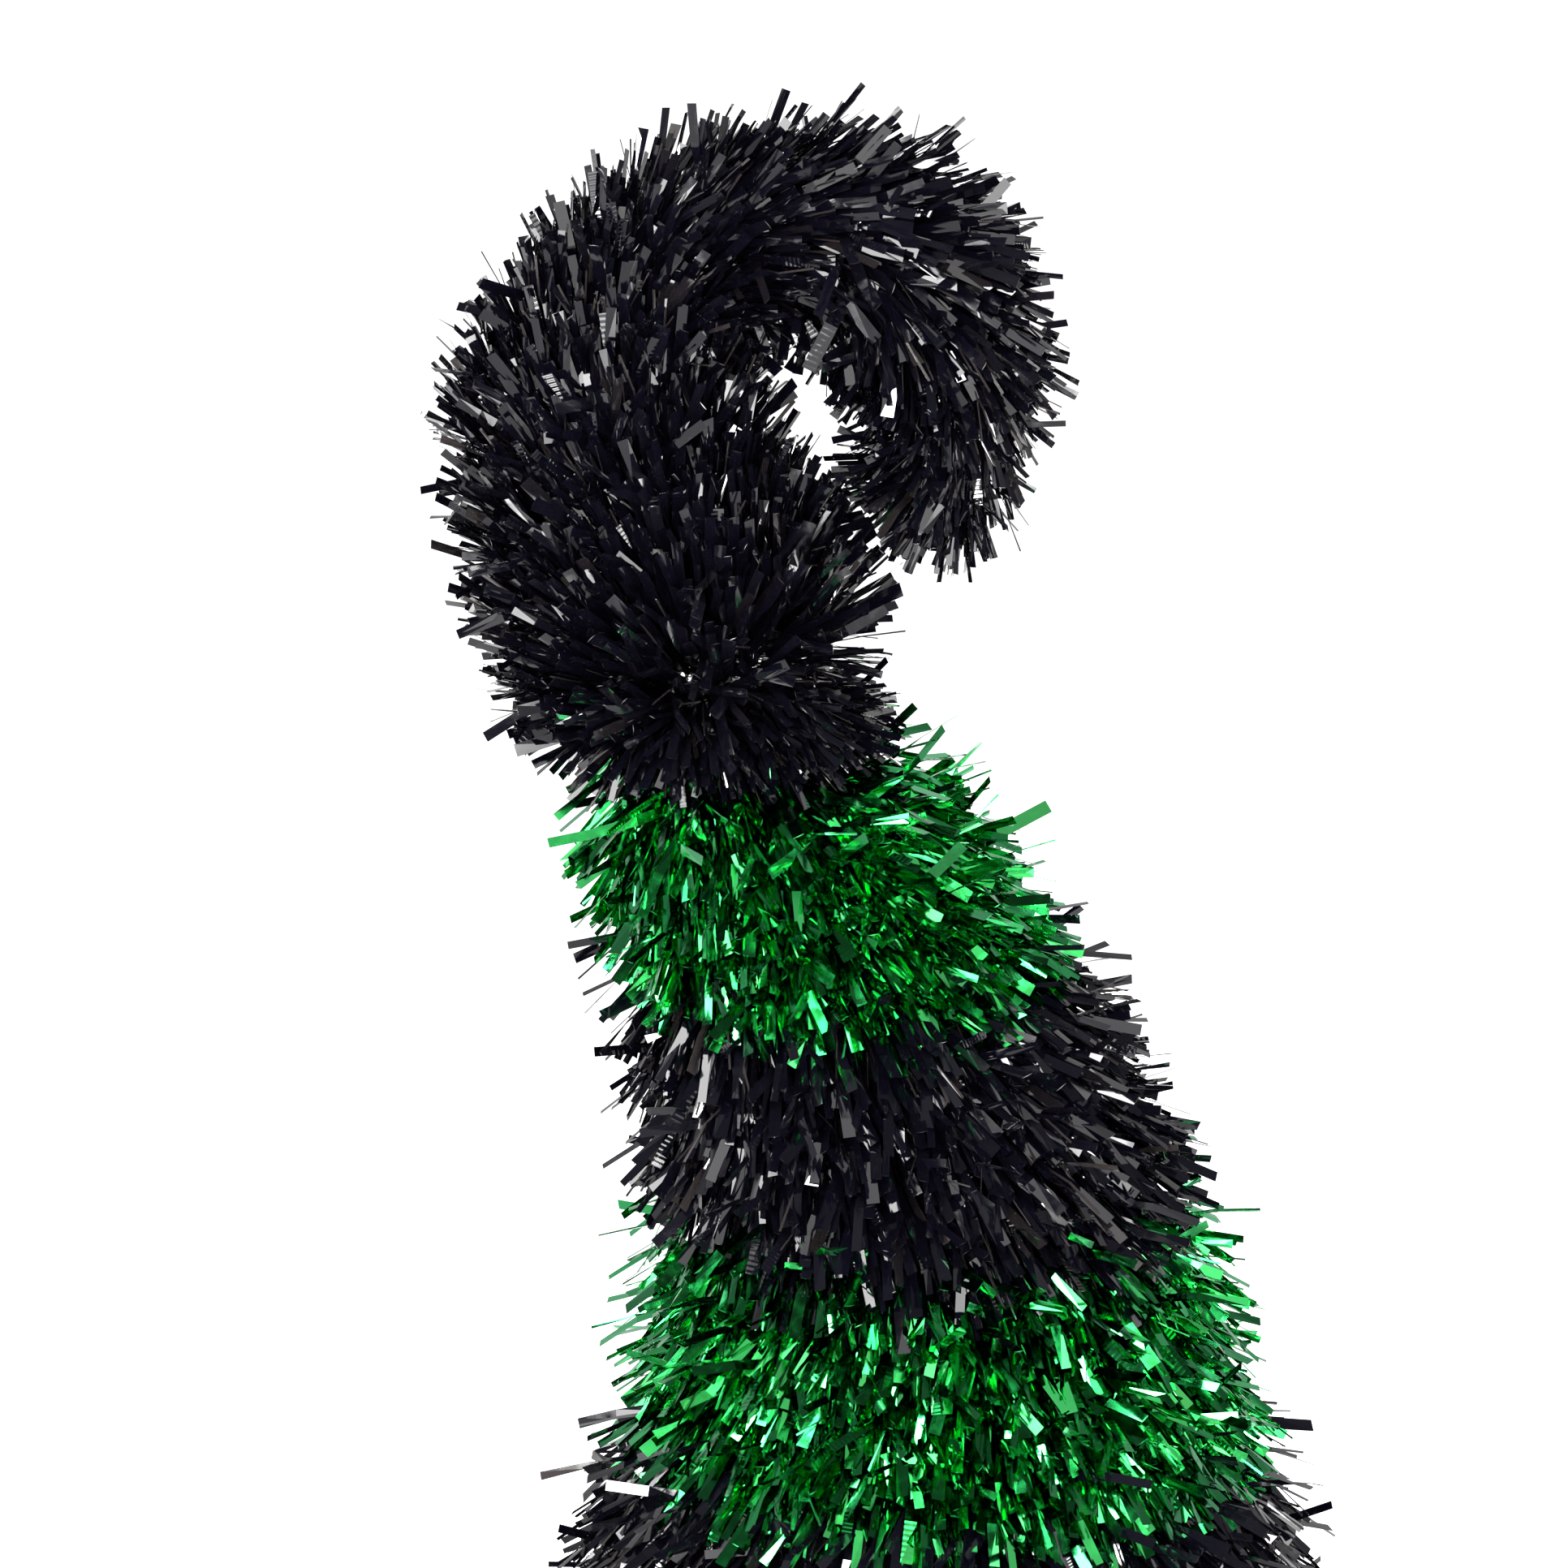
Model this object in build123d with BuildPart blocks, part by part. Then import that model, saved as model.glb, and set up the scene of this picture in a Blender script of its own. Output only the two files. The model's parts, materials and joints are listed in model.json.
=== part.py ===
from build123d import *
import math
import os

os.makedirs("parts", exist_ok=True)

# Curly-topped tinsel cone for a table: a wire cone frame on a round board,
# wound with black and green tinsel garland, its tip bent into a crook.
# Millimetres, +Z up, origin at the centre of the felt underside.

# Base
FELT_R, FELT_T = 84.0, 1.5
BOARD_R, BOARD_T = 88.0, 6.0
BOARD_TOP = FELT_T + BOARD_T
BASE_HOOP_R, BASE_HOOP_WIRE = 84.0, 1.5
STAPLE_WIRE, STAPLE_HALF, STAPLE_DEPTH = 0.6, 2.4, 4.0
STAPLES = 6

# Wires
RIB_WIRE, HOOP_WIRE = 1.0, 1.0
SPINE_WIRE = 1.6
CORE_WIRE = 1.3
RIBS = 6

# How the cone leans: height and centre of each level
LEAN = [(0, 0), (63, 0), (120, -1.6), (150, -4.6), (180, -13.6), (210, -25)]
LEAN += [(230, -33), (250, -44), (270, -53), (294, -63)]

# Cone profiles: height and radius
RIB_RADII = [(0, 83), (63, 68), (120, 50), (180, 38), (230, 28), (250, 20)]
STANDOFF = [(0, 2.8), (180, 2.9), (230, 3.6), (250, 4.6)]
PILE_OUTER = [(3, 112), (63, 93), (80, 88), (100, 81.5), (120, 75), (150, 68.5)]
PILE_OUTER += [(180, 63.5), (210, 57.5), (230, 54), (250, 49.5), (262, 48)]
PILE_INNER = [(3, 90.5), (14, 89.5), (63, 75.2), (120, 57.2), (180, 45.5), (230, 36.5)]
PILE_INNER += [(250, 29.5), (262, 24)]

# Hoops inside the ribs: height and distance in from the rib line
HOOPS = [(63, 2.7), (120, 2.7), (180, 3.3), (230, 3.8), (250, 5.6)]

# Ferrule that gathers the ribs around the foot of the spine wire
GATHER_FOOT, GATHER_HEAD = (-48.5, 260), (-55.2, 275.5)
FERRULE_FOOT, FERRULE_LENGTH, NECK_FOOT_LEAN = (-51.5, 267), 10.0, 23.4
FERRULE_R, FERRULE_BORE, GATHER_R = 8.4, 7.0, 5.0

# Crook: an arc over the top, from its left foot round to its free end
ARC_X, ARC_Z, ARC_R = -40.0, 352.0, 43.0
ARC_START, ARC_SPLIT, ARC_END = 188.0, 75.0, -30.0
NECK_HINGE = (-58.0, 282.0)
NECK_LEAN = 22.6

# Garland lengths wound on the cone: foot and head of the twisted core
BLACK_LOWER, GREEN_LOWER = (16, 91), (93, 153)
BLACK_MIDDLE, GREEN_UPPER = (155, 212), (214, 250)
BAND_FEET = [3, 92, 154, 213, 262]
BAND_GAP = 0.3

# Crook winding
WIND_R, LAY_R = 17.6, 3.3


def level(stations, z):
    """Straight-line value between the stations on either side of z."""
    for (z0, v0), (z1, v1) in zip(stations, stations[1:]):
        if z <= z1:
            return v0 + (v1 - v0) * (z - z0) / (z1 - z0)
    return stations[-1][1]


def save(piece, name):
    piece.part.label = name
    export_step(piece.part, f"parts/{name}.step")


def bends(points, share=0.82):
    """A bend radius for each inner corner that leaves a straight between bends."""
    radii = []
    for a, b, c in zip(points, points[1:], points[2:]):
        come = Vector(*b) - Vector(*a)
        go = Vector(*c) - Vector(*b)
        half_turn = math.radians(come.get_angle(go)) / 2
        reach = share * min(come.length, go.length) / 2
        radii.append(min(reach / math.tan(half_turn), 400.0))
    return radii


def wire_along(points, radius, name):
    """One round wire, bent along the given corners."""
    with BuildPart() as piece:
        with BuildLine() as route:
            FilletPolyline(*points, radius=bends(points))
        with BuildSketch(Plane(origin=route.line @ 0, z_dir=route.line % 0)):
            Circle(radius)
        sweep(path=route.wires()[0])
    save(piece, name)


def arc_plane(angle):
    """Plane square to the crook's centre line at an angle on its arc."""
    a = math.radians(angle)
    at = (ARC_X + ARC_R * math.cos(a), 0, ARC_Z + ARC_R * math.sin(a))
    return Plane(origin=at, x_dir=(0, 1, 0), z_dir=(math.sin(a), 0, -math.cos(a)))


def leaning_plane(x, z, lean):
    """Plane square to a centre line that leans left by the given angle."""
    a = math.radians(lean)
    return Plane(origin=(x, 0, z), x_dir=(0, 1, 0), z_dir=(-math.sin(a), 0, math.cos(a)))


# ---- Base: felt pad, round board, hoop and the staples that hold it ----

with BuildPart() as felt_pad:
    Cylinder(FELT_R, FELT_T, align=(Align.CENTER, Align.CENTER, Align.MIN))
save(felt_pad, "felt_pad")

with BuildPart() as base_board:
    with Locations((0, 0, FELT_T)):
        Cylinder(BOARD_R, BOARD_T, align=(Align.CENTER, Align.CENTER, Align.MIN))
    fillet(base_board.edges().filter_by(GeomType.CIRCLE), 1.0)
    with BuildSketch(Plane.XY.offset(BOARD_TOP)):
        with PolarLocations(BASE_HOOP_R, STAPLES, start_angle=30):
            with Locations((STAPLE_HALF, 0), (-STAPLE_HALF, 0)):
                Circle(STAPLE_WIRE + 0.06)
    extrude(amount=-STAPLE_DEPTH - 0.2, mode=Mode.SUBTRACT)
save(base_board, "base_board")

with BuildPart() as base_hoop:
    with Locations((0, 0, BOARD_TOP + BASE_HOOP_WIRE + 0.02)):
        Torus(BASE_HOOP_R, BASE_HOOP_WIRE)
save(base_hoop, "base_hoop")

STAPLE_TOP = BOARD_TOP + 2 * BASE_HOOP_WIRE + STAPLE_WIRE + 0.1
with BuildPart() as hoop_staples:
    for turn in range(STAPLES):
        side = Plane.XZ.rotated((0, 0, 30 + 360 * turn / STAPLES))
        with BuildLine(side) as staple:
            FilletPolyline(
                (BASE_HOOP_R - STAPLE_HALF, BOARD_TOP - STAPLE_DEPTH),
                (BASE_HOOP_R - STAPLE_HALF, STAPLE_TOP),
                (BASE_HOOP_R + STAPLE_HALF, STAPLE_TOP),
                (BASE_HOOP_R + STAPLE_HALF, BOARD_TOP - STAPLE_DEPTH),
                radius=1.4,
            )
        with BuildSketch(Plane(origin=staple.line @ 0, z_dir=staple.line % 0)):
            Circle(STAPLE_WIRE)
        sweep(path=staple.wires()[0])
save(hoop_staples, "hoop_staples")

# ---- Wire cone: hoops, ribs and the ferrule at the neck ----

for number, (z, inset) in enumerate(HOOPS, start=1):
    with BuildPart() as hoop:
        with Locations((level(LEAN, z), 0, z)):
            Torus(level(RIB_RADII, z) - inset, HOOP_WIRE)
    save(hoop, f"hoop_{number}")


def rib_points(angle):
    """Corners of one rib, from the board up to the mouth of the ferrule."""
    c, s = math.cos(math.radians(angle)), math.sin(math.radians(angle))
    points = [(81.3 * c, 81.3 * s, BOARD_TOP + 0.35)]
    for z in (63, 120, 150, 180, 210, 230, 250):
        r = level(RIB_RADII, z)
        points.append((level(LEAN, z) + r * c, r * s, z))
    lean = math.radians(NECK_FOOT_LEAN)
    for x, z in (GATHER_FOOT, GATHER_HEAD):
        across = GATHER_R * c
        points.append((x + across * math.cos(lean), GATHER_R * s, z + across * math.sin(lean)))
    return points


for number in range(1, RIBS + 1):
    wire_along(rib_points(60 * (number - 1)), RIB_WIRE, f"rib_{number}")

with BuildPart() as neck_ferrule:
    with BuildSketch(leaning_plane(*FERRULE_FOOT, NECK_FOOT_LEAN)):
        Circle(FERRULE_R)
        Circle(FERRULE_BORE, mode=Mode.SUBTRACT)
    extrude(amount=FERRULE_LENGTH)
save(neck_ferrule, "neck_ferrule")

# ---- Spine wire that holds the crook, and the cap on its end ----

SPINE_RUN = [(-50.9, 265.5), (-63, 294), (-73, 314), (-80, 330)]


def arc_point(angle, out=0.0, back=0.0):
    a = math.radians(angle)
    r = ARC_R + out
    return (ARC_X + r * math.cos(a), back, ARC_Z + r * math.sin(a))


spine_corners = [(x, 0, z) for x, z in SPINE_RUN]
spine_corners += [arc_point(angle) for angle in range(188, -31, -18)]
spine_corners.append(arc_point(ARC_END))
wire_along(spine_corners, SPINE_WIRE, "spine_wire")

with BuildPart() as tip_cap:
    with BuildSketch(arc_plane(ARC_END + 5)):
        Circle(6.6)
    extrude(amount=8)
    with BuildSketch(arc_plane(ARC_END + 5)):
        Circle(5.6)
    extrude(amount=6.5, mode=Mode.SUBTRACT)
save(tip_cap, "tip_cap")

# ---- Twisted wire cores of the garland lengths ----


def winding(foot, head, turns=2):
    """Corners of a garland core wound up the outside of the ribs."""
    points = []
    steps = 12 * turns
    for k in range(steps):
        z = foot + (head - foot) * k / (steps - 1)
        r = (level(RIB_RADII, z) + level(STANDOFF, z)) / math.cos(math.radians(15))
        a = math.radians(75 - 30 * k)
        points.append((level(LEAN, z) + r * math.cos(a), r * math.sin(a), z))
    return points


wire_along(winding(*BLACK_LOWER), CORE_WIRE, "core_black_lower")
wire_along(winding(*GREEN_LOWER), CORE_WIRE, "core_green_lower")
wire_along(winding(*BLACK_MIDDLE), CORE_WIRE, "core_black_middle")
wire_along(winding(*GREEN_UPPER), CORE_WIRE, "core_green_upper")


def crook_winding():
    """Corners of the top garland: coiled up the neck, then laid along the crook."""
    points = []
    run = [(-50.3, 264), (-63, 294), (-73, 314), (-80, 330), (-82.6, 346)]
    steps, spread = 36, 1 / math.cos(math.radians(15))
    for k in range(steps):
        along = (len(run) - 1) * k / steps
        n = int(along)
        (x0, z0), (x1, z1) = run[n], run[n + 1]
        x, z = x0 + (x1 - x0) * (along - n), z0 + (z1 - z0) * (along - n)
        lean = math.radians(level([(264, 23), (314, 22), (346, 9)], z))
        a = math.radians(75 - 30 * k)
        across = WIND_R * spread * math.cos(a)
        y = WIND_R * spread * math.sin(a)
        points.append((x + across * math.cos(lean), y, z + across * math.sin(lean)))
    for k in range(18):
        angle = ARC_START - 4 * k
        r = (WIND_R + (LAY_R + 0.6 - WIND_R) * k / 17) * spread
        a = math.radians(75 - 30 * k)
        points.append(arc_point(angle, -r * math.cos(a), r * math.sin(a)))
    for angle in range(100, int(ARC_END), -20):
        points.append(arc_point(angle, 0, -LAY_R))
    points.append(arc_point(ARC_END + 1, 0, -LAY_R))
    return points


wire_along(crook_winding(), CORE_WIRE, "core_black_crook")

# ---- Twisted wire ties that hold the garland to the ribs ----

with BuildPart() as garland_ties:
    for foot, head in (BLACK_LOWER, GREEN_LOWER, BLACK_MIDDLE, GREEN_UPPER):
        for step in (0.5, 16.5):
            z = foot + (head - foot) * step / 23
            a = math.radians(75 - 30 * step)
            gap = level(STANDOFF, z)
            r = level(RIB_RADII, z) + gap / 2
            at = (level(LEAN, z) + r * math.cos(a), r * math.sin(a), z)
            round_way = Vector(math.sin(a), -math.cos(a), 1)
            out_way = (math.cos(a), math.sin(a), 0)
            with Locations(Plane(origin=at, x_dir=out_way, z_dir=round_way)):
                Torus((gap + RIB_WIRE + CORE_WIRE) / 2 + 1.45, 0.3)
save(garland_ties, "garland_ties")

# ---- Tinsel pile on the cone: one hollow band for each colour ----


def levels_between(low, high):
    inner = {z for z, _ in PILE_OUTER + PILE_INNER if low < z < high}
    return [low] + sorted(inner) + [high]


def pile_band(low, high, name):
    """A hollow ring of tinsel pile around the leaning cone."""
    with BuildPart() as piece:
        for z in levels_between(low, high):
            with BuildSketch(Plane.XY.offset(z)):
                with Locations((level(LEAN, z), 0)):
                    Circle(level(PILE_OUTER, z))
        loft(ruled=True)
        for z in levels_between(low, high):
            with BuildSketch(Plane.XY.offset(z)):
                with Locations((level(LEAN, z), 0)):
                    Circle(level(PILE_INNER, z))
        loft(ruled=True, mode=Mode.SUBTRACT)
    save(piece, name)


pile_band(BAND_FEET[0], BAND_FEET[1] - BAND_GAP, "pile_black_lower")
pile_band(BAND_FEET[1], BAND_FEET[2] - BAND_GAP, "pile_green_lower")
pile_band(BAND_FEET[2], BAND_FEET[3] - BAND_GAP, "pile_black_middle")
pile_band(BAND_FEET[3], BAND_FEET[4] - BAND_GAP, "pile_green_upper")

# ---- Tinsel pile above the cone, split where the spine wire is bent ----


def bend_gap(plane, outer_side, inner_side):
    """Wedge-shaped room on both sides of a bend, thinnest at the spine."""
    reach, slit = 80.0, 0.35
    up = reach * math.tan(math.radians(outer_side / 2))
    down = reach * math.tan(math.radians(inner_side / 2))
    inward = Vector(0, 1, 0).cross(plane.z_dir)
    section = Plane(origin=plane.origin, x_dir=inward, z_dir=(0, 1, 0))
    with BuildPart() as gap:
        with BuildSketch(section):
            with BuildLine():
                Polyline(
                    (-reach, slit + up), (0, slit), (reach, slit + down),
                    (reach, -slit - down), (0, -slit), (-reach, -slit - up),
                    close=True,
                )
            make_face()
        extrude(amount=90, both=True)
    return gap.part


neck_plane = leaning_plane(*NECK_HINGE, NECK_LEAN)
crook_plane = arc_plane(ARC_START)
tip_plane = arc_plane(ARC_SPLIT)
neck_gap = bend_gap(neck_plane, 16, 13)
crook_gap = bend_gap(crook_plane, 21, 3)
tip_gap = bend_gap(tip_plane, 26, 3)


def pile_tube(sections, cuts, name):
    """A tube of pile through (plane, outer radius, inner radius) sections."""
    with BuildPart() as piece:
        for plane, outer, _ in sections:
            with BuildSketch(plane):
                Circle(outer)
        loft(ruled=True)
        for plane, _, inner in sections:
            if inner:
                with BuildSketch(plane):
                    Circle(inner)
        loft(ruled=True, mode=Mode.SUBTRACT)
        for cut in cuts:
            add(cut, mode=Mode.SUBTRACT)
    save(piece, name)


collar = [
    (Plane.XY.offset(262).move(Location((level(LEAN, 262), 0, 0))), 48, 24),
    (leaning_plane(*NECK_HINGE, NECK_LEAN), 47.5, 21),
]
pile_tube(collar, [neck_gap], "pile_black_collar")

neck = [
    (leaning_plane(*NECK_HINGE, NECK_LEAN), 47.5, 20),
    (leaning_plane(-66, 300, 24), 48.5, 20),
    (leaning_plane(-73, 314, 24), 47.5, 20),
    (leaning_plane(-80, 330, 15), 43.5, 20),
    (arc_plane(ARC_START), 40, 20),
]
pile_tube(neck, [neck_gap, crook_gap], "pile_black_neck")

crook = [(arc_plane(ARC_START), 40, 20.2), (arc_plane(176), 38, 18), (arc_plane(164), 36, 15.5)]
crook += [(arc_plane(150), 32, 13), (arc_plane(135), 30.5, 10), (arc_plane(120), 29.5, 7.5)]
crook += [(arc_plane(105), 29, 6), (arc_plane(90), 29, 6), (arc_plane(ARC_SPLIT), 28.5, 6)]
pile_tube(crook, [crook_gap, tip_gap], "pile_black_crook")

tip = [(arc_plane(angle), radius, 7.4) for angle, radius in
       ((75, 28.5), (60, 28), (45, 27.5), (30, 27), (15, 26.8), (0, 26.5), (-15, 26), (-30, 25))]
tip_end = arc_plane(ARC_END)
tip.append((tip_end.offset(5.5), 23.5, 7.4))
tip.append((tip_end.offset(7), 22.5, 0))
tip.append((tip_end.offset(13), 16.5, 0))
tip.append((tip_end.offset(17), 8, 0))
pile_tube(tip, [tip_gap], "pile_black_tip")
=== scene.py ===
import bpy
import bmesh
import json
import math
import numpy as np
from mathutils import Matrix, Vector


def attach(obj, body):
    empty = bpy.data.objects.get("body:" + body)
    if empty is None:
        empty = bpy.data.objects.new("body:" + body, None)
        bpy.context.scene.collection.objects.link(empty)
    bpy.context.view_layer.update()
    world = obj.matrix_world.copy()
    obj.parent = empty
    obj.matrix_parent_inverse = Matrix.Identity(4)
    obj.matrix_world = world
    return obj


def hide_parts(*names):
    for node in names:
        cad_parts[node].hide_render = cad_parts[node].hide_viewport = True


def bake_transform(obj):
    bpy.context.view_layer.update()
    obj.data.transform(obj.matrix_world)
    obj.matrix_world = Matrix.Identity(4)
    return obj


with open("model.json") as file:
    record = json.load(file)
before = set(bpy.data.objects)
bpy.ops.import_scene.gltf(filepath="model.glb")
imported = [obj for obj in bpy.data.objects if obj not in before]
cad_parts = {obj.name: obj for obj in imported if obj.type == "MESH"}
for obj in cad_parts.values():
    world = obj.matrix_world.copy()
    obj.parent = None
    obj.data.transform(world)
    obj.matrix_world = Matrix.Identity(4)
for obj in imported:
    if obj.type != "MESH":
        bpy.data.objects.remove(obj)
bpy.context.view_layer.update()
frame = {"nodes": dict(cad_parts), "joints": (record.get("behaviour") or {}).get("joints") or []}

# ---- Table, studio light and camera ----
# A white sweep runs on under and behind the cone. Large soft boxes stand
# round it, and four small ones give the film its hard glints.

bpy.ops.object.select_all(action="DESELECT")
studio = bpy.context.scene
studio.view_settings.view_transform = "Standard"
studio.view_settings.look = "None"


def graded(nodes, low, high, dark, bright):
    """A node that turns values from low to high into values from dark to bright."""
    grade = nodes.new("ShaderNodeMapRange")
    grade.inputs["From Min"].default_value = low
    grade.inputs["From Max"].default_value = high
    grade.inputs["To Min"].default_value = dark
    grade.inputs["To Max"].default_value = bright
    return grade


# The room as the film mirrors it: dim in front, bright behind, and bright from
# the table below, with small hot spots. The camera sees plain white instead.
air = bpy.data.worlds.new("studio_air")
studio.world = air
air.use_nodes = True
sky = air.node_tree.nodes
sky.clear()
seen = sky.new("ShaderNodeBackground")
seen.inputs["Color"].default_value = (1, 1, 1, 1)
seen.inputs["Strength"].default_value = 1.0
lit = sky.new("ShaderNodeBackground")
where = sky.new("ShaderNodeTexCoord")
split = sky.new("ShaderNodeSeparateXYZ")
wall = graded(sky, -0.10, 0.75, 0.11, 0.85)
table = graded(sky, 0.0, -0.22, 0.0, 0.95)
lamps = sky.new("ShaderNodeTexNoise")
lamps.inputs["Scale"].default_value = 7.0
lamps.inputs["Detail"].default_value = 0.0
lamp = graded(sky, 0.66, 0.70, 1.0, 15.0)
shine = sky.new("ShaderNodeMath")
shine.operation = "MULTIPLY_ADD"
ray = sky.new("ShaderNodeLightPath")
pick = sky.new("ShaderNodeMixShader")
out = sky.new("ShaderNodeOutputWorld")
wires = air.node_tree.links
wires.new(where.outputs["Generated"], split.inputs[0])
wires.new(split.outputs["Y"], wall.inputs["Value"])
wires.new(split.outputs["Z"], table.inputs["Value"])
wires.new(where.outputs["Generated"], lamps.inputs["Vector"])
wires.new(lamps.outputs["Fac"], lamp.inputs["Value"])
wires.new(table.outputs["Result"], shine.inputs[0])
wires.new(lamp.outputs["Result"], shine.inputs[1])
wires.new(wall.outputs["Result"], shine.inputs[2])
wires.new(shine.outputs[0], lit.inputs["Strength"])
wires.new(ray.outputs["Is Camera Ray"], pick.inputs["Fac"])
wires.new(lit.outputs[0], pick.inputs[1])
wires.new(seen.outputs[0], pick.inputs[2])
wires.new(pick.outputs[0], out.inputs["Surface"])

bpy.ops.mesh.primitive_plane_add(size=60, location=(0, 0, 0))
sweep = bpy.context.object
sweep.name = "white_sweep"
paper = bpy.data.materials.new("white_sweep_paper")
paper.use_nodes = True
paper_bsdf = paper.node_tree.nodes["Principled BSDF"]
paper_bsdf.inputs["Base Color"].default_value = (0.86, 0.86, 0.86, 1)
paper_bsdf.inputs["Roughness"].default_value = 0.9
paper_bsdf.inputs["Emission Color"].default_value = (1, 1, 1, 1)
paper_bsdf.inputs["Emission Strength"].default_value = 0.92
sweep.data.materials.append(paper)
sweep.visible_glossy = False

subject = Vector((-0.04, 0, 0.25))
for name, at, size, power in (
        ("soft_box_front", (0.05, -1.15, 1.35), 1.10, 5),
        ("soft_box_wide", (-0.04, -2.40, 0.60), 1.30, 11),
        ("soft_box_right", (1.30, -0.80, 0.70), 0.90, 13),
        ("soft_box_left", (-1.30, -0.70, 0.60), 0.80, 17),
        ("soft_box_top", (-0.10, 0.20, 1.60), 0.50, 11),
        ("glint_box_high", (0.20, -1.35, 1.30), 0.26, 10),
        ("glint_box_low", (-0.50, -1.75, 0.45), 0.26, 10),
        ("glint_box_side", (0.80, -1.45, 0.60), 0.28, 11),
        ("glint_box_left", (-1.00, -1.10, 0.95), 0.28, 11)):
    bpy.ops.object.light_add(type="AREA", location=at)
    soft_box = bpy.context.object
    soft_box.name = name
    soft_box.data.size = size
    soft_box.data.energy = power
    soft_box.rotation_euler = (subject - Vector(at)).to_track_quat("-Z", "Y").to_euler()

bpy.ops.object.camera_add()
camera = bpy.context.object
rise, far, seen_wide = math.radians(7), 2.0, 0.3864
look_at = Vector((-0.0398, 0, 0.2568))
camera.location = look_at + Vector((0, -far * math.cos(rise), far * math.sin(rise)))
camera.rotation_euler = (look_at - camera.location).to_track_quat("-Z", "Y").to_euler()
camera.data.sensor_width = 36
camera.data.lens = camera.data.sensor_width * far / seen_wide
studio.camera = camera

# ---- Felt pad and round board ----
# The foot is a turned fibreboard disc painted black, with a black felt pad
# glued under it so it doesn't mark a shelf.


def finish_of(name, dark, light, scale, rough, metal=0.0, grain=(1, 1, 1), bump=0.0):
    """A finish mottled between two colours, with its gloss and surface broken up."""
    finish = bpy.data.materials.new(name)
    finish.use_nodes = True
    nodes, joins = finish.node_tree.nodes, finish.node_tree.links
    bsdf = nodes["Principled BSDF"]
    bsdf.inputs["Metallic"].default_value = metal
    place = nodes.new("ShaderNodeTexCoord")
    stretch = nodes.new("ShaderNodeMapping")
    stretch.inputs["Scale"].default_value = grain
    mottle = nodes.new("ShaderNodeTexNoise")
    mottle.inputs["Scale"].default_value = scale
    mottle.inputs["Detail"].default_value = 5
    colour = nodes.new("ShaderNodeValToRGB")
    colour.color_ramp.elements[0].position = 0.35
    colour.color_ramp.elements[0].color = (*dark, 1)
    colour.color_ramp.elements[1].position = 0.68
    colour.color_ramp.elements[1].color = (*light, 1)
    gloss = graded(nodes, 0.0, 1.0, *rough)
    relief = nodes.new("ShaderNodeBump")
    relief.inputs["Strength"].default_value = 0.4
    relief.inputs["Distance"].default_value = bump
    joins.new(place.outputs["Object"], stretch.inputs["Vector"])
    joins.new(stretch.outputs["Vector"], mottle.inputs["Vector"])
    joins.new(mottle.outputs["Fac"], colour.inputs["Fac"])
    joins.new(mottle.outputs["Fac"], gloss.inputs["Value"])
    joins.new(mottle.outputs["Fac"], relief.inputs["Height"])
    joins.new(colour.outputs["Color"], bsdf.inputs["Base Color"])
    joins.new(gloss.outputs["Result"], bsdf.inputs["Roughness"])
    joins.new(relief.outputs["Normal"], bsdf.inputs["Normal"])
    return finish


def dress(finish, *names):
    """Give pieces of the frame their finish."""
    for name in names:
        piece = frame["nodes"][name]
        piece.data.materials.clear()
        piece.data.materials.append(finish)


felt = finish_of("black_felt", (0.006, 0.006, 0.007), (0.030, 0.030, 0.033), 900,
                 (0.88, 1.0), grain=(1, 1, 0.3), bump=0.0004)
dress(felt, "felt_pad")
painted_board = finish_of("painted_board", (0.012, 0.012, 0.013), (0.026, 0.025, 0.026), 60,
                          (0.42, 0.60), grain=(1, 1, 3), bump=0.0001)
dress(painted_board, "base_board")

# ---- Wire cone ----
# Black-coated steel wire: a hoop stapled to the board, six ribs drawn in to a
# ferrule at the neck, and five hoops welded inside the ribs.

coated_wire = finish_of("coated_wire", (0.010, 0.010, 0.011), (0.028, 0.028, 0.030), 220,
                        (0.30, 0.48), metal=0.2, bump=0.00005)
dress(coated_wire, "base_hoop", *(f"hoop_{n}" for n in range(1, 6)),
      *(f"rib_{n}" for n in range(1, 7)))
staple_steel = finish_of("staple_steel", (0.42, 0.42, 0.43), (0.60, 0.60, 0.61), 500,
                         (0.25, 0.42), metal=1.0, bump=0.00003)
dress(staple_steel, "hoop_staples")
rolled_ferrule = finish_of("rolled_ferrule", (0.33, 0.34, 0.35), (0.52, 0.53, 0.54), 160,
                           (0.28, 0.45), metal=1.0, grain=(1, 1, 0.2), bump=0.00004)
dress(rolled_ferrule, "neck_ferrule")

# ---- Spine wire and end cap ----
# One soft iron wire stands in the ferrule and is bent over by hand into the
# crook. A moulded cap covers its cut end. It bends at three places.

BENDS = {joint["child"]: Vector(joint["pos_m"]) for joint in frame["joints"]}
BEND_WAYS = {"neck": Vector((-0.3843, 0, 0.9232)), "crook": Vector((-0.1392, 0, 0.9903)),
             "tip": Vector((0.9659, 0, -0.2588))}
SOFT_BEND, SOFT_CUTS = 0.012, 6


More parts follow.
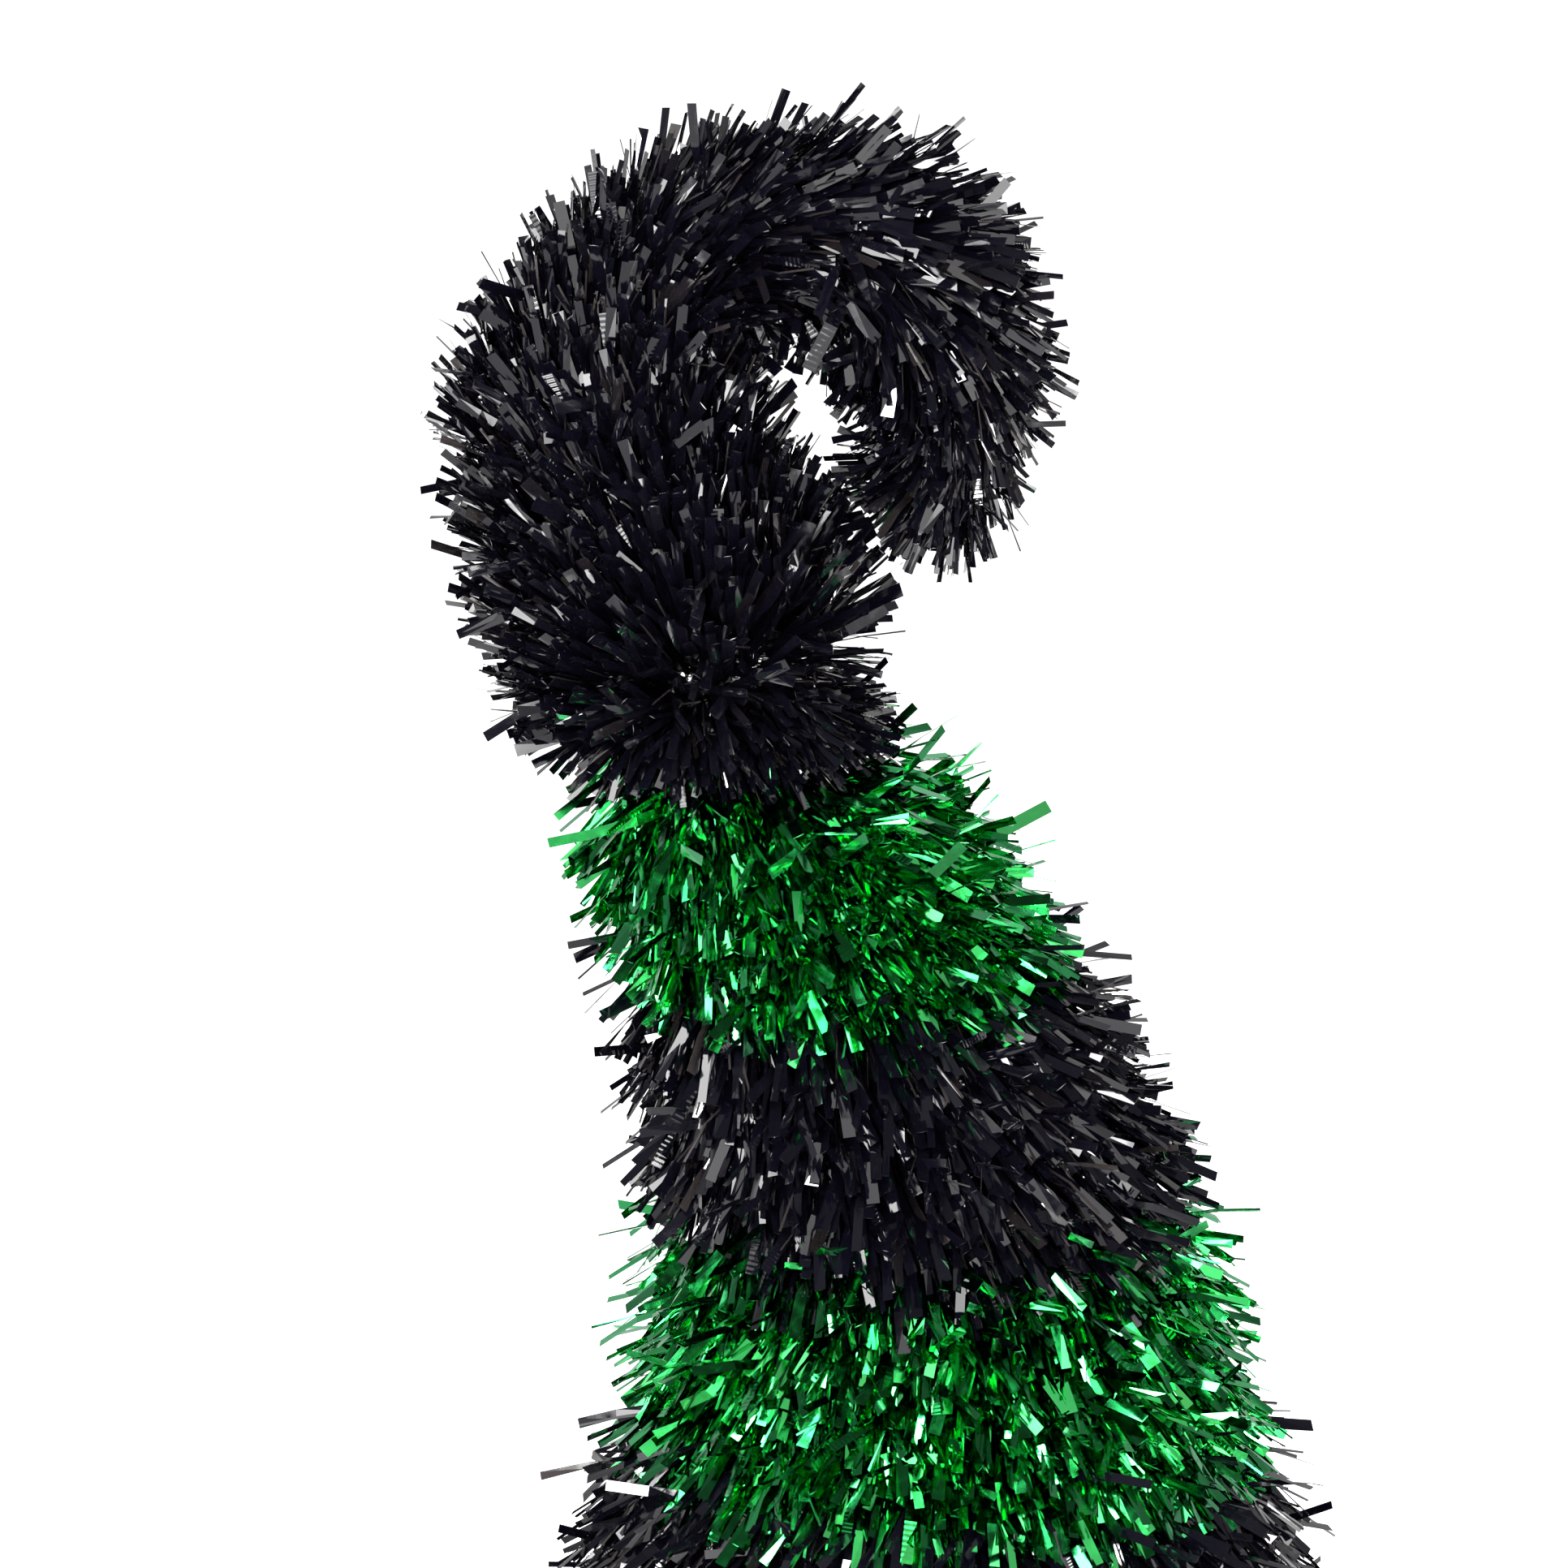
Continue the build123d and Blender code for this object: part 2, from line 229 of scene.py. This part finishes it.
def bending_wire(node, finish):
    """Cut a copy of a wire between its bends, one length for each part, with close cuts across it
    around that part's bend.
    """
    halfway = Vector((-0.0735, 0, 0.315)), Vector((-0.42, 0, 0.91))
    crown = Vector((-0.0676, 0, 0.3849)), Vector((0.7660, 0, 0.6428))
    kept = {"neck": [(halfway, "below"), (crown, "below")],
            "crook": [(halfway, "above"), (crown, "below")], "tip": [(crown, "above")]}
    for part, cuts in kept.items():
        length = frame["nodes"][node].copy()
        length.data = length.data.copy()
        length.name = f"{node}_{part}"
        studio.collection.objects.link(length)
        length.hide_render = length.hide_viewport = False
        mesh = bmesh.new()
        mesh.from_mesh(length.data)
        bmesh.ops.remove_doubles(mesh, verts=mesh.verts, dist=1e-7)
        for (at, way), side in cuts:
            every = mesh.verts[:] + mesh.edges[:] + mesh.faces[:]
            cut = bmesh.ops.bisect_plane(mesh, geom=every, plane_co=at, plane_no=way,
                                         clear_outer=side == "below", clear_inner=side == "above")
            rim = [e for e in cut["geom_cut"] if isinstance(e, bmesh.types.BMEdge)]
            bmesh.ops.holes_fill(mesh, edges=rim)
        at, way = BENDS[part], BEND_WAYS[part] * SOFT_BEND
        for step in range(-SOFT_CUTS, SOFT_CUTS + 1):
            every = mesh.verts[:] + mesh.edges[:] + mesh.faces[:]
            bmesh.ops.bisect_plane(mesh, geom=every, plane_co=at + way * step / SOFT_CUTS,
                                   plane_no=way)
        mesh.to_mesh(length.data)
        mesh.free()
        length.data.materials.clear()
        length.data.materials.append(finish)
        length.parent = None
        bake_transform(length)
        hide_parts(node)


iron_wire = finish_of("iron_wire", (0.05, 0.05, 0.05), (0.12, 0.12, 0.12), 240,
                      (0.35, 0.55), metal=0.8, bump=0.00005)
bending_wire("spine_wire", iron_wire)
moulded_cap = finish_of("moulded_cap", (0.010, 0.010, 0.010), (0.022, 0.022, 0.023), 120,
                        (0.35, 0.5), bump=0.00004)
dress(moulded_cap, "tip_cap")

# ---- Garland cores and ties ----
# Each length of tinsel has a core of two thin galvanised wires twisted
# together, wound on outside the ribs and tied down with twists of wire.

core_wire = finish_of("core_wire", (0.07, 0.07, 0.075), (0.20, 0.20, 0.21), 420,
                      (0.30, 0.50), metal=0.9, bump=0.00008)
dress(core_wire, "core_black_lower", "core_green_lower", "core_black_middle",
      "core_green_upper", "garland_ties")
bending_wire("core_black_crook", core_wire)

# ---- Tinsel film strips ----
# Each strip is cut square from thin glossy film, creased down its middle,
# and curls or twists a little as it leaves the wire that grips it.

FILM_LONG, FILM_WIDE, FILM_CREASE = 0.030, 0.0025, 0.00012
BENT_LENGTHS = 3


def cut_strip(name, curl, twist):
    """One strip of film standing on the XY plane, its far end curled and twisted."""
    bpy.ops.object.select_all(action="DESELECT")
    bpy.ops.mesh.primitive_circle_add(vertices=3, radius=1, fill_type="NGON", enter_editmode=True)
    bpy.ops.transform.resize(value=(FILM_WIDE / 3 ** 0.5, FILM_CREASE / 1.5, 1),
                             center_override=(0, 0, 0))
    shape = bpy.context.object.data
    for _ in range(BENT_LENGTHS):
        end = [f for f in bmesh.from_edit_mesh(shape).faces if f.select][0]
        way = end.normal.copy()
        if way.z < -0.9:
            way = -way
        step = way * FILM_LONG / BENT_LENGTHS
        bpy.ops.mesh.extrude_region_move(TRANSFORM_OT_translate={"value": step})
        end = [f for f in bmesh.from_edit_mesh(shape).faces if f.select][0]
        pivot = end.calc_center_median()
        bpy.ops.transform.rotate(value=math.radians(curl / BENT_LENGTHS), orient_axis="X",
                                 center_override=pivot)
        bpy.ops.transform.rotate(value=math.radians(twist / BENT_LENGTHS), orient_axis="Z",
                                 center_override=pivot)
    bpy.ops.mesh.select_all(action="SELECT")
    bpy.ops.mesh.normals_make_consistent(inside=False)
    bpy.ops.object.mode_set(mode="OBJECT")
    strip = bpy.context.object
    strip.name = name
    return strip


def read_strip(strip):
    """Corners and faces of a strip, with the side it curls to made +Y."""
    corners = np.array([v.co for v in strip.data.vertices])
    faces = [list(p.vertices) for p in strip.data.polygons]
    end = corners[corners[:, 2].argsort()[-3:]].mean(0)
    if end[1] < 0:
        corners = corners * (-1, -1, 1)
    bpy.data.objects.remove(strip)
    return corners, faces


# Each shape's curl and twist in degrees, and its share of all the strips.
SHAPES = [(3, 3, 0.12), (12, -6, 0.16), (26, 9, 0.20), (42, -12, 0.20),
          (60, 8, 0.12), (18, 45, 0.07), (34, -75, 0.05), (8, 22, 0.08)]
CURLS, TWISTS, SHARES = zip(*SHAPES)
STRIPS = [read_strip(cut_strip(f"strip_{n}", curl, twist))
          for n, (curl, twist) in enumerate(zip(CURLS, TWISTS))]

# ---- Film finishes ----
# Black film is plain glossy plastic. Green film is silvered on the back and
# tinted, so it mirrors the room in green. Some strips are crimped across.

# How fast the crimp's ridges follow one another, how deep they are, and which strips have them.
RIDGES, CRIMP_DEEP = 170.0, 0.00004
CRIMPED_PERIOD, CRIMPED_ABOVE = 0.05, 0.046


def film_finish(name, tints, rim, metal, mirror, gloss, coat):
    """Glossy film whose tint, gloss and crimp change from strip to strip."""
    finish = bpy.data.materials.new(name)
    finish.use_nodes = True
    nodes, joins = finish.node_tree.nodes, finish.node_tree.links
    bsdf = nodes["Principled BSDF"]
    bsdf.inputs["Metallic"].default_value = metal
    bsdf.inputs["IOR"].default_value = mirror
    bsdf.inputs["Coat Weight"].default_value = coat
    bsdf.inputs["Coat Roughness"].default_value = 0.04
    strip = nodes.new("ShaderNodeAttribute")
    strip.attribute_name = "strip"
    tint = nodes.new("ShaderNodeValToRGB")
    while len(tint.color_ramp.elements) < len(tints):
        tint.color_ramp.elements.new(0.5)
    for spot, (place, colour) in zip(tint.color_ramp.elements, tints):
        spot.position = place
        spot.color = (*colour, 1)
    edge = nodes.new("ShaderNodeLayerWeight")
    edge.inputs["Blend"].default_value = 0.35
    rimmed = nodes.new("ShaderNodeMix")
    rimmed.data_type = "RGBA"
    rimmed.inputs[7].default_value = (*rim, 1)
    joins.new(strip.outputs["Fac"], tint.inputs["Fac"])
    joins.new(edge.outputs["Facing"], rimmed.inputs[0])
    joins.new(tint.outputs["Color"], rimmed.inputs[6])
    joins.new(rimmed.outputs[2], bsdf.inputs["Base Color"])
    place = nodes.new("ShaderNodeTexCoord")
    rub = nodes.new("ShaderNodeTexNoise")
    rub.inputs["Scale"].default_value = 260
    rub.inputs["Detail"].default_value = 2
    dull = graded(nodes, 0.35, 0.7, *gloss)
    joins.new(place.outputs["Object"], rub.inputs["Vector"])
    joins.new(rub.outputs["Fac"], dull.inputs["Value"])
    joins.new(dull.outputs["Result"], bsdf.inputs["Roughness"])
    along = nodes.new("ShaderNodeAttribute")
    along.attribute_name = "along"

    def worked(kind, first, second):
        """One sum of the crimp pattern."""
        step = nodes.new("ShaderNodeMath")
        step.operation = kind
        for n, value in enumerate((first, second)):
            if isinstance(value, float):
                step.inputs[n].default_value = value
            elif value:
                joins.new(value, step.inputs[n])
        return step.outputs[0]

    ridges = worked("SINE", worked("MULTIPLY", along.outputs["Fac"], RIDGES), None)
    some = worked("PINGPONG", strip.outputs["Fac"], CRIMPED_PERIOD)
    crimped = worked("GREATER_THAN", some, CRIMPED_ABOVE)
    bump = nodes.new("ShaderNodeBump")
    bump.inputs["Strength"].default_value = 0.25
    bump.inputs["Distance"].default_value = CRIMP_DEEP
    joins.new(worked("MULTIPLY", ridges, crimped), bump.inputs["Height"])
    joins.new(bump.outputs["Normal"], bsdf.inputs["Normal"])
    return finish


# The black ramp's last stop is a lighter brownish grey: painted backlight shining through thin
# film. The slivers take it.
black_film = film_finish(
    "black_film",
    [(0.0, (0.0010, 0.0010, 0.0028)), (0.6, (0.0019, 0.0019, 0.0046)),
     (0.90, (0.004, 0.004, 0.007)), (0.95, (0.010, 0.008, 0.008)), (1.0, (0.060, 0.050, 0.048))],
    rim=(0.005, 0.004, 0.007), metal=0.0, mirror=1.68, gloss=(0.03, 0.11), coat=0.0)
green_film = film_finish(
    "green_film",
    [(0.0, (0.008, 0.19, 0.028)), (0.5, (0.013, 0.35, 0.058)),
     (0.85, (0.022, 0.54, 0.10)), (1.0, (0.055, 0.74, 0.22))],
    rim=(0.026, 0.44, 0.21), metal=1.0, mirror=1.5, gloss=(0.07, 0.20), coat=0.7)

# ---- Tinsel pile on the cone ----
# The garland's strips are gripped by their middles in a twisted wire core, so
# they stand out all round it. Each turn presses the strips of the last one
# down the cone like thatch, and the colours follow one another up the wire.

# The line the spine takes: points in mm up the leaning cone, then a round arc.
MM = 0.001
LEAN = [(0, 0), (0, 63), (-1.6, 120), (-4.6, 150), (-13.6, 180), (-25, 210), (-33, 230),
        (-44, 250), (-53, 270), (-63, 294), (-73, 314), (-80, 330)]
ARC_X, ARC_Z, ARC_R = -0.040, 0.352, 0.043
ARC = np.radians(np.arange(188, -31, -2.0))
BEND_LINE = np.array([(x * MM, z * MM) for x, z in LEAN]
                     + [(ARC_X + ARC_R * math.cos(a), ARC_Z + ARC_R * math.sin(a)) for a in ARC])
# The line's points that stand below the neck's bend.
ON_CONE = 140
# How far apart the turns lie and how they shift, then how far out the core is wound
# at each length up the line.
ROW, ROW_BUNCH, TURN_SLIP = 0.019, 0.0022, 0.002
FRONT_SAG, LEFT_SAG = 0.007, 0.007
WOUND = ([0.016, 0.063, 0.12, 0.185, 0.235, 0.262, 0.285, 0.360, 0.385, 0.45],
         [0.082, 0.0708, 0.053, 0.041, 0.0316, 0.0245, 0.0180, 0.0180, 0.0095, 0.006])


def finer(line, step=0.002):
    """The same line with a point every couple of millimetres, and its length so far."""
    long = np.r_[0, np.cumsum(np.linalg.norm(np.diff(line, axis=0), axis=1))]
    at = np.arange(0, long[-1], step)
    return np.c_[np.interp(at, long, line[:, 0]), np.interp(at, long, line[:, 1])], at


LINE, RUN = finer(BEND_LINE)
LINE_WAY = np.gradient(LINE, axis=0)
LINE_WAY /= np.linalg.norm(LINE_WAY, axis=1)[:, None]


def on_line(run):
    """The places on the spine that far up it."""
    return np.c_[np.interp(run, RUN, LINE[:, 0]), np.zeros(len(run)),
                 np.interp(run, RUN, LINE[:, 1])]


def unit(ways):
    """The same directions, each one unit long."""
    return ways / np.maximum(np.linalg.norm(ways, axis=1), 1e-9)[:, None]


def across_spine(points):
    """How far up the spine each point is, the way out from it and the way along it."""
    flat = points[:, [0, 2]]
    near = np.empty(len(points), int)
    for first in range(0, len(points), 2000):
        some = flat[first:first + 2000]
        near[first:first + 2000] = ((some[:, None] - LINE[None]) ** 2).sum(2).argmin(1)
    along = np.c_[LINE_WAY[near, 0], np.zeros(len(points)), LINE_WAY[near, 1]]
    middle = np.c_[LINE[near, 0], np.zeros(len(points)), LINE[near, 1]]
    out = points - middle
    out -= (out * along).sum(1)[:, None] * along
    return RUN[near], unit(out), along


def core_points(node, count, dice):
    """Points spread at random over the garland core's own wire."""
    mesh = frame["nodes"][node].data
    size = np.empty(len(mesh.polygons))
    mesh.polygons.foreach_get("area", size)
    corner = np.array([mesh.vertices[v].co for p in mesh.polygons for v in p.vertices[:3]])
    corner = corner.reshape(-1, 3, 3)
    face = dice.choice(len(size), count, p=size / size.sum())
    a, b = np.sqrt(dice.random(count)), dice.random(count)
    share = np.c_[1 - a, a * (1 - b), a * b]
    return (corner[face] * share[:, :, None]).sum(1)


def shifted(points, raised, level, dice):
    """Each grip moved round the spine and along it, as the turns shift, mix and bunch in rows."""
    run, out, up = across_spine(points)
    if level:
        run = np.interp(points[:, 2], LINE[:ON_CONE, 1], RUN[:ON_CONE])
        out, up = points - on_line(run), np.array([[0.0, 0.0, 1.0]])
    away = np.linalg.norm(points - on_line(run), axis=1)
    out = unit(out)
    angle = (2 * math.pi * dice.random(len(run)))[:, None]
    swung = out * np.cos(angle) + np.cross(up, out) * np.sin(angle)
    row = np.sin(2 * math.pi * run / ROW + np.arctan2(swung[:, 0], swung[:, 1]))
    part = (run - run.min()) / np.ptp(run)
    slide = raised[0] + (raised[1] - raised[0]) * part + ROW_BUNCH * row + (
        TURN_SLIP * dice.standard_normal(len(run)))
    if level:
        slide += FRONT_SAG * swung[:, 1] + LEFT_SAG * np.clip(-swung[:, 0], 0, 1)
    away += np.interp(run + slide, *WOUND) - np.interp(run, *WOUND)
    away *= np.interp(run, [0.27, 0.285, 0.31, 0.33, 0.362, 0.385, 0.41, 0.45],
                      [1.0, 1.2, 1.25, 1.0, 1.0, 0.55, 0.7, 1.0])
    return on_line(run + slide) + swung * away[:, None]


# The shares of strips that stray and that are slivers, the slivers' width and tint, and the least
# gap over the floor.
# The sliver tint picks the lighter brownish grey top of the black ramp: painted backlight through
# the thin film.
STRAYS, SLIVERS, SLIVER_WIDE, SLIVER_PAINTED_BACKLIGHT = 0.12, 0.11, 0.18, 0.97
FLOOR_GAP = 0.0012


def combed(roots, comb, long, dice):
    """Which way each strip points, curls and lies across, and its shape, size and shade."""
    count = len(roots)
    run, out, up = across_spine(roots)
    lift, vary = comb(run, roots)
    tilt = np.interp(run, [0, 0.24, 0.29, 1], [0.30, 0.25, 0.0, 0.0])[:, None]
    face = out * np.cos(tilt) + up * np.sin(tilt)
    slope = up * np.cos(tilt) - out * np.sin(tilt)
    side = np.cross(face, slope)
    kind = dice.choice(len(STRIPS), count, p=SHARES)
    stray = dice.random(count) < STRAYS
    lift = np.where(stray, lift * 0.5, lift) + np.where(stray, 1.5, 1.0) * vary * (
        dice.standard_normal(count))
    sprung = 0.4 * np.array(CURLS)[kind]
    lift = np.radians(lift - np.sign(lift) * np.minimum(sprung, abs(lift)))[:, None]
    lean = np.radians(np.where(stray, 26.0, 7.0) * dice.standard_normal(count))[:, None]
    way = face * np.cos(lift) + slope * np.sin(lift)
    way = unit(way * np.cos(lean) + side * np.sin(lean))
    press = slope * np.sign(lift) - face * 0.6
    press = unit(press - (press * way).sum(1)[:, None] * way)
    roll = np.radians(30 * dice.standard_normal(count))[:, None]
    curl = press * np.cos(roll) + np.cross(press, way) * np.sin(roll)
    size = long * np.clip(1 + 0.10 * dice.standard_normal(count), 0.7, 1.2)
    sliver = dice.random(count) < SLIVERS
    cut = np.clip(0.92 + 0.16 * dice.standard_normal(count), 0.6, 1.3)
    shade = 0.96 * dice.random(count)
    # Slivers get the lighter tint, which is painted backlight shining through the film.
    return (way, curl, np.cross(curl, way), kind, size,
            np.where(sliver, SLIVER_WIDE, cut), np.where(sliver, SLIVER_PAINTED_BACKLIGHT, shade))


def film_mesh(name, corners, faces, marks):
    """One flat-faced mesh of many strips, with their shade, run along the film and film map."""
    mesh = bpy.data.meshes.new(name)
    mesh.vertices.add(len(corners))
    mesh.vertices.foreach_set("co", corners.ravel())
    sizes = np.concatenate([np.full(len(i) // n, n) for n, i in faces])
    order = np.concatenate([i for _, i in faces])
    mesh.loops.add(len(order))
    mesh.loops.foreach_set("vertex_index", order)
    mesh.polygons.add(len(sizes))
    mesh.polygons.foreach_set("loop_start", np.r_[0, np.cumsum(sizes)[:-1]])
    mesh.polygons.foreach_set("loop_total", sizes)
    mesh.polygons.foreach_set("use_smooth", np.zeros(len(sizes), bool))
    mesh.update(calc_edges=True)
    for title, values in (("strip", marks[:, 0]), ("along", marks[:, 1])):
        mesh.attributes.new(title, "FLOAT", "POINT").data.foreach_set("value", values.copy())
    film_map = mesh.uv_layers.new(name="OFBake")
    film_map.data.foreach_set("uv", marks[order][:, 2:].ravel())
    return mesh


def lay_pile(name, roots, comb, long, body, node, finish, dice):
    """Grip a strip at each root and comb it; all the strips of one band are one piece."""
    way, curl, wide, kind, size, cut, shade = combed(roots, comb, long, dice)
    cells = math.ceil(math.sqrt(len(roots)))
    corners, faces, marks, total = [], [], [], 0
    for n, (shape, loops) in enumerate(STRIPS):
        mine = np.flatnonzero(kind == n)
        grip, s, w = roots[mine, None], size[mine, None, None], cut[mine, None, None]
        x, y, z = (shape[None, :, i, None] for i in range(3))
        points = grip + wide[mine, None] * x * s * w + curl[mine, None] * y * s + (
            way[mine, None] * z * s)
        drop = grip[:, :, 2:] - points[:, :, 2:].min(1, keepdims=True)
        room = grip[:, :, 2:] - FLOOR_GAP
        points[:, :, 2:] = grip[:, :, 2:] + (points[:, :, 2:] - grip[:, :, 2:]) * (
            np.minimum(1, room / drop))
        corners.append(points.reshape(-1, 3))
        along = np.tile(shape[:, 2] / shape[:, 2].max(), len(mine))
        over = np.tile(shape[:, 0] / FILM_WIDE + 0.5, len(mine))
        cell = np.repeat(mine, len(shape))
        marks.append(np.c_[np.repeat(shade[mine], len(shape)), along,
                           (cell % cells + 0.15 + 0.7 * over) / cells,
                           (cell // cells + 0.15 + 0.7 * along) / cells])
        start = total + np.arange(len(mine))[:, None] * len(shape)
        for f in loops:
            faces.append((len(f), (start + np.array(f)[None]).ravel()))
        total += len(mine) * len(shape)
    mesh = film_mesh(name, np.concatenate(corners), faces,
                     np.concatenate(marks).astype(np.float32))
    mesh.materials.append(finish)
    pile = bpy.data.objects.new(name, mesh)
    studio.collection.objects.link(pile)
    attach(pile, body)
    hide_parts(node)


def down_cone(run, roots):
    """Pressed down the slope; the lowest strips lie out flatter over the board's edge."""
    lift = np.interp(roots[:, 2], [0.0, 0.03, 0.07, 1], [-28, -48, -67, -67])
    return lift, np.full(len(run), 10.0)


dice = np.random.default_rng(7)
films = {"black": black_film, "green": green_film}
for name, count, raised in (
        ("black_lower", 6400, (0, 0.009)), ("green_lower", 5400, (0.010, 0.005)),
        ("black_middle", 4600, (0.006, 0.008)), ("green_upper", 4400, (0.009, 0.015))):
    colour = name.split("_")[0]
    grips = shifted(core_points(f"core_{name}", count, dice), raised, True, dice)
    lay_pile(f"tinsel_{name}", grips, down_cone, 1.0, "stand", f"pile_{name}",
             films[colour], dice)

# ---- Tinsel pile on the neck and crook ----
# The top garland coils up the neck and runs along the crook to its end. Its
# strips are combed down below the neck's bend and up and round above it, and
# they are shared out between the parts of the wire that bend.

run_of = {name: RUN[np.argmin(np.hypot(LINE[:, 0] - at.x, LINE[:, 1] - at.z))]
          for name, at in BENDS.items()}
COLLAR_HIGH, COLLAR_SQUEEZE, NECK_LEVELLED = 0.280, 0.35, 0.022
top = shifted(core_points("core_black_crook", 15000, dice), (0, 0), False, dice)
run, _, _ = across_spine(top)
low = run < run_of["neck"]
top[low, 2] = COLLAR_HIGH - COLLAR_SQUEEZE * (run_of["neck"] - run[low])
tilted = top[:, 2] - on_line(run)[:, 2]
top[:, 2] -= tilted * np.interp(
    run, [run_of["neck"] - 1e-6, run_of["neck"], run_of["neck"] + NECK_LEVELLED], [0, 0.85, 0])
top[:, 2] += 0.001 * dice.standard_normal(len(top))
top = top[dice.random(len(top)) < np.interp(run, [0.31, 0.33, 0.36, 0.42], [0.9, 0.6, 0.6, 1.0])]
run, _, _ = across_spine(top)


def round_crook(run, roots):
    """Down below the neck's bend, up above it, then round to the free end, flatter at the front."""
    lift = np.interp(run, [run_of["neck"] - 0.001, run_of["neck"] + 0.001,
                           run_of["neck"] + 0.012, run_of["neck"] + 0.028, run_of["crook"],
                           0.392, 0.435, 0.455, 0.475, 0.51, 0.525],
                     [-50, 12, 40, 56, 64, 66, 60, 52, 60, 66, 54])
    _, out, _ = across_spine(roots)
    inward = unit(np.array([[ARC_X, 0, ARC_Z]]) - on_line(run))
    inside = np.clip((out * inward).sum(1), 0, 1) * (run > run_of["crook"] + 0.015)
    flatter = 16 * out[:, 1] ** 2 * (run > run_of["neck"] + 0.012)
    vary = np.interp(run, [run_of["neck"], run_of["crook"], run_of["tip"]], [14, 12, 11])
    return lift + flatter - 26 * inside, vary


for name, first, last, body in (("collar", 0, run_of["neck"], "stand"),
                                ("neck", run_of["neck"], run_of["crook"], "neck"),
                                ("crook", run_of["crook"], run_of["tip"], "crook"),
                                ("tip", run_of["tip"], np.inf, "tip")):
    chosen = (run >= first) & (run < last)
    long = np.interp(run[chosen], [run_of["neck"] - 0.001, run_of["neck"] + 0.001, 0.32, 0.44,
                                   0.455, 0.475, 0.49, 0.505, 0.525],
                     [0.72, 1.05, 0.98, 0.98, 1.10, 0.98, 0.84, 0.76, 0.74])
    lay_pile(f"tinsel_black_{name}", top[chosen], round_crook, long, body,
             f"pile_black_{name}", black_film, dice)
